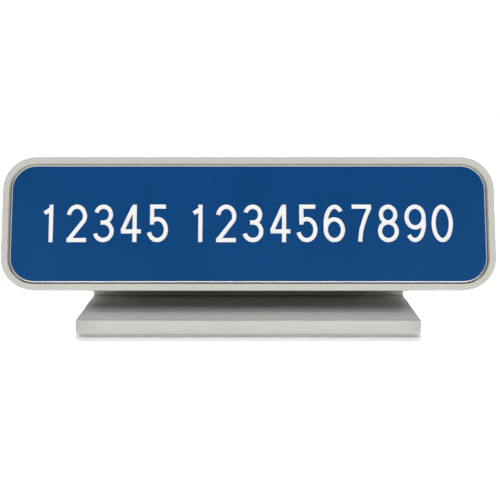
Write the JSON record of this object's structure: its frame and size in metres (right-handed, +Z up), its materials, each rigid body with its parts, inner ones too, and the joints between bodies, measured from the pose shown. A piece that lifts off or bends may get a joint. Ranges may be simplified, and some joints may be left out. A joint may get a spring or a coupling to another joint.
{
  "type": "desk name plate",
  "caption": "Leaning desk sign: a rounded frame holding a flat laminate insert, hung on headed studs on an L-shaped stand with rubber feet.",
  "frame": {"origin": "middle of the base plate's footprint, on the plane that the feet stand on", "axes": "+X along the sign to the reader's right, -Y towards the reader, +Z up"},
  "size_m": [0.21, 0.0642, 0.0653],
  "materials": {
    "grey_plastic": "fine satin",
    "zinc_steel": "zinc plated",
    "foot_rubber": "matte",
    "foam_tape": "closed-cell foam",
    "laminate_core": "cut edge",
    "laminate_cap": "fine satin"
  },
  "bodies": {
    "stand": {"base_plate": "grey_plastic", "upright": "grey_plastic", "upright_screws": "zinc_steel", "hanger_stud_left": "zinc_steel", "hanger_stud_right": "zinc_steel", "foot_front_left": "foot_rubber", "foot_front_right": "foot_rubber", "foot_back_left": "foot_rubber", "foot_back_right": "foot_rubber"},
    "sign": {"frame": "grey_plastic", "tape_upper": "foam_tape", "tape_lower": "foam_tape"},
    "insert": {"insert_core": "laminate_core", "insert_cap": "laminate_cap"}
  },
  "joints": [
    {"name": "sign_lift", "type": "slide", "parent": "stand", "child": "sign", "axis": [0, 0.309, 0.9511], "range_m": [0, 0.018]},
    {"name": "insert_out", "type": "slide", "parent": "sign", "child": "insert", "axis": [0, -0.9511, 0.309], "range_m": [0, 0.02]}
  ]
}
